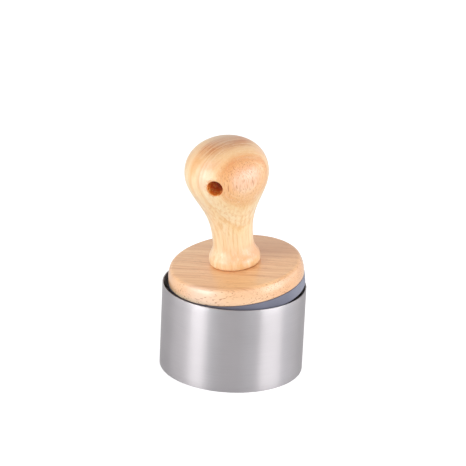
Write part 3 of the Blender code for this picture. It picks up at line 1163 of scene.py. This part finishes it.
@dataclass
class StampHandle:
    """Turned knob handle with its hanging bore, standing on the disc."""

    seat: StampSeat
    base: float = 7.6 * MM
    length: float = 57.185 * MM
    foot_radius: float = 11.2 * MM
    foot_round: float = 1.4 * MM
    foot_round_steps: int = 8
    foot_top: float = 2.6 * MM
    foot_drop: float = 0.22 * MM
    neck_radius: float = 8.875 * MM
    neck_height: float = 10.3 * MM
    knob_radius: float = 18.15 * MM
    knob_height: float = 42.2 * MM
    swell_lateness: float = 1.34
    flare_lateness: float = 1.4
    crown_fullness: float = 2.14
    bore_radius: float = 3.35 * MM
    bore_height: float = 41.9 * MM
    mouth_round: float = 0.32 * MM
    mouth_steps: int = 6
    mouth_spread: float = 1.4
    mouth_past: float = 3.0
    hole_radius: float = 2.3 * MM
    hole_depth: float = 21.2 * MM
    hole_cone: float = 1.3 * MM
    segments: int = 144
    crown_rows: int = 40
    swell_rows: int = 56
    foot_rows: int = 20
    bore_columns: int = 72

    def waisted(
        self, radius: float, height: float, share: np.ndarray, lateness: float
    ) -> np.ndarray:
        """Rows that widen from the neck to a radius and height, by the wave of share^lateness.

        Args:
            radius: The radius at share 1.
            height: The height at share 1.
            share: Shares of the way from the neck.
            lateness: How late the widening comes.

        Returns:
            Rows of (radius, height).
        """
        spread = wave(share**lateness)
        out = self.neck_radius + (radius - self.neck_radius) * spread
        return np.column_stack((out, self.neck_height + (height - self.neck_height) * share))

    def outline(self) -> np.ndarray:
        """Outer side from the crown down to the foot.

        The crown is a superellipse: radius knob * sin(a)^(2/n) and height crown *
        cos(a)^(2/n) above the knob's middle. Swell and cove widen from the neck by
        (1 - cos(pi t^k)) / 2 with a lateness k each, and the foot's edge is a quarter
        round.

        Returns:
            Rows of (radius, height) above the handle's own base.
        """
        power = 2 / self.crown_fullness
        a = np.linspace(0.0, math.pi / 2, self.crown_rows + 1)[:-1]
        crown_z = self.knob_height + (self.length - self.knob_height) * np.cos(a) ** power
        crown = np.column_stack((self.knob_radius * np.sin(a) ** power, crown_z))
        down = 1.0 - np.arange(self.swell_rows) / self.swell_rows
        swell = self.waisted(self.knob_radius, self.knob_height, down, self.swell_lateness)
        out = np.arange(self.foot_rows + 1) / self.foot_rows
        cove = self.waisted(self.foot_radius, self.foot_top, out, self.flare_lateness)
        low = (self.foot_radius - self.foot_round, self.foot_round - self.foot_drop)
        edge = arc(low, self.foot_round, 0, -90, self.foot_round_steps)
        return np.concatenate((crown, swell, cove, edge))

    def body(self) -> Shell:
        """The whole turned body, with the screw's pilot hole in its foot.

        Returns:
            The body on the stamp's own axes.
        """
        top, r = self.hole_depth, self.hole_radius
        hole = ((r, -self.foot_drop), (r, top), (0.0, top + self.hole_cone))
        shell = lathe(np.concatenate((self.outline(), hole)), even_angles(self.segments))
        shell.points[:, 2] += self.base
        return shell

    def bore(self) -> Shell:
        """What the drill and the softened mouths take away.

        Round the bore's own axis, the point at angle b is (r cos b, y, z + r sin b). The
        knob's surface lies at y = sqrt(R(z)^2 - x^2) there, so each mouth follows the
        knob: up to one mouth round below that surface r is the bore's radius, and from
        there r grows by a quarter round.

        Returns:
            The closed cutter, on the stamp's own axes.
        """
        b = even_angles(self.bore_columns)
        outline = self.outline()[::-1]
        outline = outline[np.argsort(outline[:, 1], kind="stable")]
        height = self.bore_height + self.bore_radius * np.sin(b)
        around = np.interp(height, outline[:, 1], outline[:, 0])
        surface = np.sqrt(around**2 - (self.bore_radius * np.cos(b)) ** 2)
        sweep = np.linspace(0.0, math.pi / 2, self.mouth_steps + 1)
        mouth, past = self.mouth_round, self.mouth_round * self.mouth_past
        spread = (mouth * self.mouth_spread,)
        grow = np.concatenate(((0.0,), mouth * (1.0 - np.cos(sweep)), spread))
        rise = np.concatenate(((-self.bore_radius,), -mouth * (1.0 - np.sin(sweep)), (past,)))
        y_half = surface[None, :] + rise[:, None]
        radius = self.bore_radius + np.concatenate((grow[::-1], grow))[:, None]
        middle = self.base + self.bore_height
        y = np.concatenate((-y_half[::-1], y_half))
        rings = np.stack((radius * np.cos(b), y, middle + radius * np.sin(b)), axis=-1)
        end = self.knob_radius + past
        return ringed(rings, *(np.array((0.0, side * end, middle)) for side in (-1, 1)))

    def build(self) -> bpy.types.Object:
        """Make the handle, drill its bore and dress it.

        Returns:
            The object, standing for its CAD node.
        """
        piece = add_piece("turned_handle", [self.seat.place(self.body())])
        cut(piece, self.seat.place(self.bore()), "drill")
        dress(piece, TurnedWood(self.seat).material(), Body.STAMP)
        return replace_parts(piece, "handle")


@dataclass
class WoodenDisc:
    """Round board with a rolled-over top edge and the spigot that the die grips."""

    seat: StampSeat
    radius: float = 29.7 * MM
    thickness: float = 7.3 * MM
    edge_round: float = 1.8 * MM
    side_round: float = 12.0 * MM
    side_start: float = 1.6 * MM
    lower_round: float = 0.5 * MM
    round_steps: tuple[int, int, int] = (10, 14, 6)
    spigot_radius: float = 27.3 * MM
    spigot_height: float = 3.0 * MM
    groove_radius: float = 26.4 * MM
    groove_height: float = 1.5 * MM
    groove_chamfer: float = 0.4 * MM
    hole_radius: float = 2.3 * MM
    countersink_radius: float = 5.124 * MM
    segments: int = 192

    def rim(self) -> np.ndarray:
        """Rows of the rim from the flat top to the lower face.

        A round of radius e runs into a side arc of radius s without a corner where the
        angle above level is asin(rise / (s - e)), the rise being that of the round's
        centre over the arc's. A quarter round closes the lower edge.

        Returns:
            Rows of (radius, height).
        """
        over_steps, side_steps, low_steps = self.round_steps
        reach = self.side_round - self.edge_round
        rise = self.thickness - self.edge_round - self.side_start
        meeting = math.degrees(math.asin(rise / reach))
        side = self.radius - self.side_round
        top = (side + math.sqrt(reach**2 - rise**2), self.side_start + rise)
        over = arc(top, self.edge_round, 90, meeting, over_steps)
        flank = arc((side, self.side_start), self.side_round, meeting, 0, side_steps)
        low = (self.radius - self.lower_round, self.lower_round)
        return np.concatenate((over, flank[1:], arc(low, self.lower_round, 0, -90, low_steps)))

    def profile(self) -> np.ndarray:
        """Section from the hole's top edge over the rounded rim to the countersink.

        Returns:
            Rows of (radius, height).
        """
        slope = self.countersink_radius - self.hole_radius
        under = (
            (self.groove_radius, 0.0),
            (self.groove_radius, self.groove_chamfer - self.groove_height),
            (self.spigot_radius, -self.groove_height),
            (self.spigot_radius, -self.spigot_height),
            (self.countersink_radius, -self.spigot_height),
            (self.hole_radius, slope - self.spigot_height),
        )
        return np.concatenate((((self.hole_radius, self.thickness),), self.rim(), under))

    def build(self) -> bpy.types.Object:
        """Make the disc and dress it.

        Returns:
            The object, standing for its CAD node.
        """
        shell = self.seat.place(lathe(self.profile(), even_angles(self.segments), wrap=True))
        piece = add_piece("wooden_disc", [shell])
        dress(piece, BoardWood(self.seat).material(), Body.STAMP)
        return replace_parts(piece, "stamp_disc")


@dataclass
class SiliconeDie:
    """Stretched-on silicone cup with the raised rosette that prints the dough."""

    seat: StampSeat
    top: float = -0.3 * MM
    radius: float = 29.8 * MM
    band_height: float = 4.6 * MM
    wall: float = 2.2 * MM
    floor: float = 1.6 * MM
    face_round: float = 0.5 * MM
    rim_round: float = 0.3 * MM
    rim_rise: float = 0.24 * MM
    lip_height: float = 0.9 * MM
    lip_reach: float = 0.9 * MM
    lip_chamfer: float = 0.4 * MM
    relief_height: float = 1.8 * MM
    relief_root: float = 0.4 * MM
    edge_round: float = 0.25 * MM
    edge_steps: int = 4
    rim_steps: int = 5
    face_steps: int = 8
    draft: float = 0.12 * MM
    border_radius: float = 27.8 * MM
    border_width: float = 1.2 * MM
    bead_radius: float = 1.2 * MM
    bead_circle: float = 24.1 * MM
    bead_count: int = 32
    bead_segments: int = 24
    petal_count: int = 8
    petal_steps: int = 28
    petal_start: float = 5.7 * MM
    petal_tip: float = 21.7 * MM
    petal_width: float = 7.75 * MM
    petal_rim: float = 0.9 * MM
    petal_dish: float = 1.0 * MM
    bowl_reach: float = 0.7 * MM
    bowl_round: float = 0.12 * MM
    vein_width: float = 0.8 * MM
    vein_share: float = 0.8
    vein_insets: tuple[int, int] = (3, 4)
    leaflet_length: float = 5.6 * MM
    leaflet_width: float = 2.8 * MM
    leaflet_steps: int = 16
    boss_radius: float = 4.5 * MM
    boss_ring_width: float = 1.1 * MM
    boss_segments: int = 96
    button_radius: float = 2.0 * MM
    button_segments: int = 48
    segments: int = 192

    @property
    def face(self) -> float:
        """Height of the die's face."""
        return self.top - self.band_height

    def cup(self) -> Shell:
        """The cup, turned: its floor's middle, the gripping lip, the rim, the face's middle.

        Returns:
            The cup on the stamp's own axes.
        """
        inner_floor = self.face + self.floor
        cup_radius = self.radius - self.wall
        lip, under_lip = cup_radius - self.lip_reach, self.top - self.lip_height
        inside = (
            (0.0, inner_floor),
            (cup_radius, inner_floor),
            (cup_radius, under_lip),
            (lip, under_lip + self.lip_chamfer),
            (lip, self.top),
        )
        rim_centre = (self.radius - self.rim_round, self.top + self.rim_rise - self.rim_round)
        edge_centre = (self.radius - self.face_round, self.face + self.face_round)
        rim = arc(rim_centre, self.rim_round, 90, 0, self.rim_steps)
        edge = arc(edge_centre, self.face_round, 0, -90, self.face_steps)
        section = np.concatenate((inside, rim, edge, ((0.0, self.face),)))
        return lathe(section, even_angles(self.segments))

    def quarter(self) -> np.ndarray:
        """Rows of (1 - cos a, sin a) times the edge round, over a quarter turn of a."""
        a = np.linspace(0.0, math.pi / 2, self.edge_steps + 1)
        return self.edge_round * np.column_stack((1.0 - np.cos(a), np.sin(a)))

    def flank(self) -> np.ndarray:
        """Rows of (inset, depth below the face) up a raised line's side.

        The side leans in by the draft and rolls over into the crest by a quarter round.

        Returns:
            Rows from the root inside the face to the crest.
        """
        roll = self.quarter() + (self.draft, self.relief_height - self.edge_round)
        return np.concatenate((((0.0, -self.relief_root), (0.0, 0.0)), roll))

    def band(self, outer: float, width: float, segments: int) -> Shell:
        """A raised ring line: one flank outside, the same flank mirrored inside.

        Args:
            outer: Outer radius.
            width: Width of the line.
            segments: Columns of the turn.

        Returns:
            The line on the stamp's own axes.
        """
        inset, depth = self.flank().T
        outside = np.column_stack((outer - inset, self.face - depth))
        inside = np.column_stack((outer - width + inset, self.face - depth))[::-1]
        return lathe(np.concatenate((outside, inside)), even_angles(segments), wrap=True)

    def stud(self, radius: float, segments: int, x: float = 0.0, y: float = 0.0) -> Shell:
        """A raised round stud: the flank turned round its own axis, closed at crest and root.

        Args:
            radius: The stud's radius.
            segments: Columns of the turn.
            x: Place of its middle.
            y: Place of its middle.

        Returns:
            The stud on the stamp's own axes.
        """
        inset, depth = self.flank().T
        side = np.column_stack((radius - inset, self.face - depth))
        root, crest = self.face + self.relief_root, self.face - self.relief_height
        rows = np.concatenate((((0.0, root),), side, ((0.0, crest),)))
        shell = lathe(rows, even_angles(segments))
        shell.points += (x, y, 0.0)
        return shell

    def leaf(
        self, start: float, end: float, width: float, rows: np.ndarray, steps: int, bearing: float
    ) -> Shell:
        """A raised leaf on a ray from the middle.

        The leaf's outline is the space that two equal circles share. Drawn in by d it is
        the same shape with circles smaller by d, so the point at share t of an arc is
        (middle + (q - d) sin(a t), side * ((q - d) cos(a t) - q + w)), with circle
        radius q, half width w and sin a = half length / (q - d).

        Args:
            start: Radius of the inner tip.
            end: Radius of the outer tip.
            width: Full width.
            rows: Rows of (inset, depth below the face).
            steps: Steps along each arc.
            bearing: Direction of the ray in radians.

        Returns:
            The leaf's shell on the stamp's own axes.
        """
        middle, half_length, half_width = (start + end) / 2, (end - start) / 2, width / 2
        circle = (half_length**2 + half_width**2) / (2 * half_width)
        shrunk = circle - rows[:, :1]
        reach = np.arccos(np.clip((circle - half_width) / shrunk, -1.0, 1.0))
        angle = reach * np.linspace(-1.0, 1.0, steps, endpoint=False)
        x = shrunk * np.sin(angle)
        y = shrunk * np.cos(angle) - circle + half_width
        x = np.concatenate((x, -x), axis=1) + middle
        y = np.concatenate((y, -y), axis=1)
        depth = np.repeat(rows[:, 1:2], 2 * steps, axis=1)
        cos, sin = math.cos(bearing), math.sin(bearing)
        rings = np.stack((x * cos - y * sin, x * sin + y * cos, self.face - depth), axis=-1)
        poles = (np.array((middle * cos, middle * sin, self.face - rows[k, 1])) for k in (0, -1))
        return ringed(rings, *poles)

    def dished(self) -> np.ndarray:
        """Rows of a petal: flank, rim crest, quarter round down into a shallow dish.

        Returns:
            Rows of (inset, depth below the face).
        """
        rim_in = self.draft + self.petal_rim
        low = self.relief_height - self.petal_dish
        roll = self.quarter()[:, ::-1] * (1, -1) + (rim_in, self.relief_height)
        inner = rim_in + self.edge_round + self.bowl_round
        bowl = ((inner, low + self.bowl_round), (rim_in + self.bowl_reach, low))
        return np.concatenate((self.flank(), roll, bowl))

    def rosette(self) -> list[Shell]:
        """Border line, beads, petals with a vein each, leaflets, and a ringed button.

        Returns:
            The relief's shells on the stamp's own axes.
        """
        shells = [
            self.band(self.border_radius, self.border_width, self.segments),
            self.band(self.boss_radius, self.boss_ring_width, self.boss_segments),
            self.stud(self.button_radius, self.button_segments),
        ]
        for angle in even_angles(self.bead_count):
            x, y = self.bead_circle * math.cos(angle), self.bead_circle * math.sin(angle)
            shells.append(self.stud(self.bead_radius, self.bead_segments, x, y))
        flank, dished, tip = self.flank(), self.dished(), self.petal_tip
        vein = flank * (1.0, self.vein_share)
        inset, outset = (count * self.petal_rim for count in self.vein_insets)
        inner, outer = self.petal_start + inset, tip - outset
        start = tip - self.leaflet_length
        for angle in even_angles(self.petal_count):
            turn = angle + math.pi / self.petal_count
            shells += [
                self.leaf(self.petal_start, tip, self.petal_width, dished, self.petal_steps, angle),
                self.leaf(inner, outer, self.vein_width, vein, self.leaflet_steps, angle),
                self.leaf(start, tip, self.leaflet_width, flank, self.leaflet_steps, turn),
            ]
        return shells

    def build(self) -> bpy.types.Object:
        """Make the die and dress it.

        Returns:
            The object, standing for its CAD node.
        """
        shells = [self.seat.place(shell) for shell in (self.cup(), *self.rosette())]
        piece = add_piece("printing_die", shells)
        dress(piece, MattSilicone(self.seat).material(), Body.STAMP)
        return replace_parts(piece, "silicone_die")


@dataclass
class HandleScrew:
    """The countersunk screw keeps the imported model's own shape."""

    node: bpy.types.Object
    finish: ZincSteel = field(default_factory=ZincSteel)

    def dress(self) -> bpy.types.Object:
        """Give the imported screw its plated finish.

        Returns:
            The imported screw.
        """
        material = self.finish.material()
        for slot in self.node.material_slots:
            slot.material = material
        return self.node


# Studio


@dataclass(frozen=True)
class SoftBox:
    """A large soft lamp, placed by its bearing from the camera as seen from the object."""

    name: str
    bearing: float
    width: float
    radiance: float
    colour: Colour = WHITE
    elevation: float = 8.0
    height: float = 0.60
    distance: float = 1.0

    def build(self, camera_bearing: float, target: Vector) -> bpy.types.Object:
        """Make the lamp facing the target.

        Its power is pi * area * radiance.

        Args:
            camera_bearing: The camera's bearing from the object in radians.
            target: Point that the lamp faces.

        Returns:
            The lamp.
        """
        turn = camera_bearing + math.radians(self.bearing)
        rise = math.radians(self.elevation)
        level = math.cos(rise)
        back = Vector((math.cos(turn) * level, math.sin(turn) * level, math.sin(rise)))
        lamp = bpy.data.lights.new(self.name, "AREA")
        lamp.shape = "RECTANGLE"
        lamp.size, lamp.size_y = self.width, self.height
        lamp.energy = math.pi * self.width * self.height * self.radiance
        lamp.color = self.colour
        holder = shown(self.name, lamp)
        holder.location = target + back * self.distance
        holder.rotation_euler = back.to_track_quat("Z", "Y").to_euler()
        holder.visible_camera = False
        return holder


@dataclass(frozen=True)
class Studio:
    """Pale floor, soft lamps at both sides, and the camera at the photograph's angle."""

    camera_place: tuple[float, float, float] = (0.24800, -0.92105, 0.42207)
    heading: float = math.radians(15.17)
    pitch: float = 0.3614
    roll: float = 0.0467
    focal_pixels: float = 2354.05
    frame_pixels: int = 466
    sensor: float = 36.0
    view_range: tuple[float, float] = (0.05, 30.0)
    floor_rings: tuple[float, ...] = (0.0, 0.05, 0.2, 1.0, 6.0)
    floor_segments: int = 64
    floor_tone: float = 0.8
    floor_glow: float = 0.5
    world_light: float = 0.68
    world_shine: float = 0.3
    target: tuple[float, float, float] = (0.0, 0.0, 0.05)
    boxes: tuple[SoftBox, ...] = (
        SoftBox("left_softbox", -53.0, 0.47, 5.3),
        SoftBox("left_flank_box", -71.5, 0.17, 1.9),
        SoftBox("right_softbox", 63.2, 0.70, 4.45),
        SoftBox("left_side_box", -90.0, 0.50, 1.15),
        SoftBox("right_side_box", 105.0, 0.55, 1.00),
        SoftBox("left_cool_fill", -30.0, 0.30, 0.60, (0.80, 0.96, 1.0)),
        SoftBox("right_cool_fill", 28.0, 0.30, 0.60, (0.85, 0.96, 1.0)),
        SoftBox("right_flank_fill", 92.0, 0.26, 0.70, (0.70, 0.85, 1.0)),
    )

    def seen(self, nodes: Nodes, shine: float) -> Socket:
        """One for camera and transmission rays, a share for glossy rays, otherwise nought.

        Args:
            nodes: The tree that gets the nodes.
            shine: The share for glossy rays.

        Returns:
            The largest of the three.
        """
        path = nodes.node("LightPath", {}).outputs
        direct = nodes.sum("MAXIMUM", path["Is Camera Ray"], path["Is Transmission Ray"])
        return nodes.sum("MAXIMUM", direct, nodes.times(path["Is Glossy Ray"], shine))

    def build_floor(self) -> bpy.types.Object:
        """Round pale floor: rings of points at height nought, turned round the upright axis.

        Returns:
            The floor.
        """
        rows = np.column_stack((self.floor_rings, np.zeros(len(self.floor_rings))))
        floor = add_piece("pale_floor", [lathe(rows, even_angles(self.floor_segments))])
        floor.data.materials.append(self.floor_material())
        floor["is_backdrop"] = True
        return floor

    def floor_material(self) -> Material:
        """Matt pale floor with a white glow where it is seen; its underside lets rays through.

        Returns:
            The floor's material.
        """
        material = bpy.data.materials.new("pale_floor")
        material.use_nodes = True
        material.node_tree.nodes.clear()
        nodes = Nodes(material.node_tree)
        matt = nodes.node("BsdfDiffuse", {"Color": (*(self.floor_tone,) * 3, 1.0)})
        level = nodes.times(self.seen(nodes, 0.0), self.floor_glow)
        glow = nodes.node("Emission", {"Strength": level})
        both = nodes.node("AddShader", {0: matt.outputs[0], 1: glow.outputs[0]})
        below = nodes.node("NewGeometry", {}).outputs["Backfacing"]
        clear = nodes.node("BsdfTransparent", {})
        choice = nodes.node("MixShader", {0: below, 1: both.outputs[0], 2: clear.outputs[0]})
        nodes.node("OutputMaterial", {"Surface": choice.outputs[0]})
        return material

    def build_world(self) -> None:
        """Even soft light all round, white where it is seen."""
        world = bpy.data.worlds.new("soft_room")
        world.use_nodes = True
        nodes = Nodes(world.node_tree)
        light = nodes.tree.nodes["Background"].inputs
        seen = self.seen(nodes, self.world_shine)
        sockets = {"Value": seen, "To Min": self.world_light, "To Max": 1.0}
        nodes.feed(light["Strength"], nodes.node("MapRange", sockets).outputs[0])
        nodes.feed(light["Color"], (*WHITE, 1.0))
        bpy.context.scene.world = world

    def build_camera(self) -> bpy.types.Object:
        """Camera from heading, pitch and roll.

        Forward is (-sin h cos p, cos h cos p, -sin p), right is (cos h, sin h, 0), up is
        their cross product, and the roll turns right and up about forward.

        Returns:
            The camera.
        """
        cos_h, sin_h = math.cos(self.heading), math.sin(self.heading)
        level = math.cos(self.pitch)
        forward = Vector((-sin_h * level, cos_h * level, -math.sin(self.pitch)))
        right = Vector((cos_h, sin_h, 0.0))
        up = right.cross(forward)
        across = right * math.cos(self.roll) + up * math.sin(self.roll)
        over = up * math.cos(self.roll) - right * math.sin(self.roll)
        data = bpy.data.cameras.new("photograph_view")
        data.sensor_width = self.sensor
        data.lens = self.focal_pixels / self.frame_pixels * self.sensor
        data.clip_start, data.clip_end = self.view_range
        camera = shown("photograph_view", data)
        turn = Matrix((across, over, -forward)).transposed().to_4x4()
        camera.matrix_world = Matrix.Translation(self.camera_place) @ turn
        bpy.context.scene.camera = camera
        return camera

    def build(self) -> None:
        """Make floor, world, camera and lamps."""
        bpy.context.scene.view_settings.view_transform = "Standard"
        self.build_floor()
        self.build_world()
        self.build_camera()
        bearing = math.atan2(self.camera_place[1], self.camera_place[0])
        for box in self.boxes:
            box.build(bearing, Vector(self.target))


def corners(bounds: tuple[Vector, Vector]) -> list[list[float]]:
    """Two corner points as plain lists."""
    return [list(corner) for corner in bounds]


def main() -> None:
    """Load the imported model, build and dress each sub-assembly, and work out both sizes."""
    logging.basicConfig(level=logging.INFO, format="%(message)s")
    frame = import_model()
    cad_box = corners(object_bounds())
    seat = StampSeat()
    pieces = [
        CutterRing().build(),
        StampHandle(seat).build(),
        WoodenDisc(seat).build(),
        SiliconeDie(seat).build(),
        HandleScrew(frame["nodes"]["handle_screw"]).dress(),
    ]
    for piece in pieces:
        LOG.info("%s: %d faces", piece.name, len(piece.data.polygons))
    Studio().build()
    {"cad": cad_box, "visual": corners(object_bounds())}


if __name__ == "__main__":
    main()
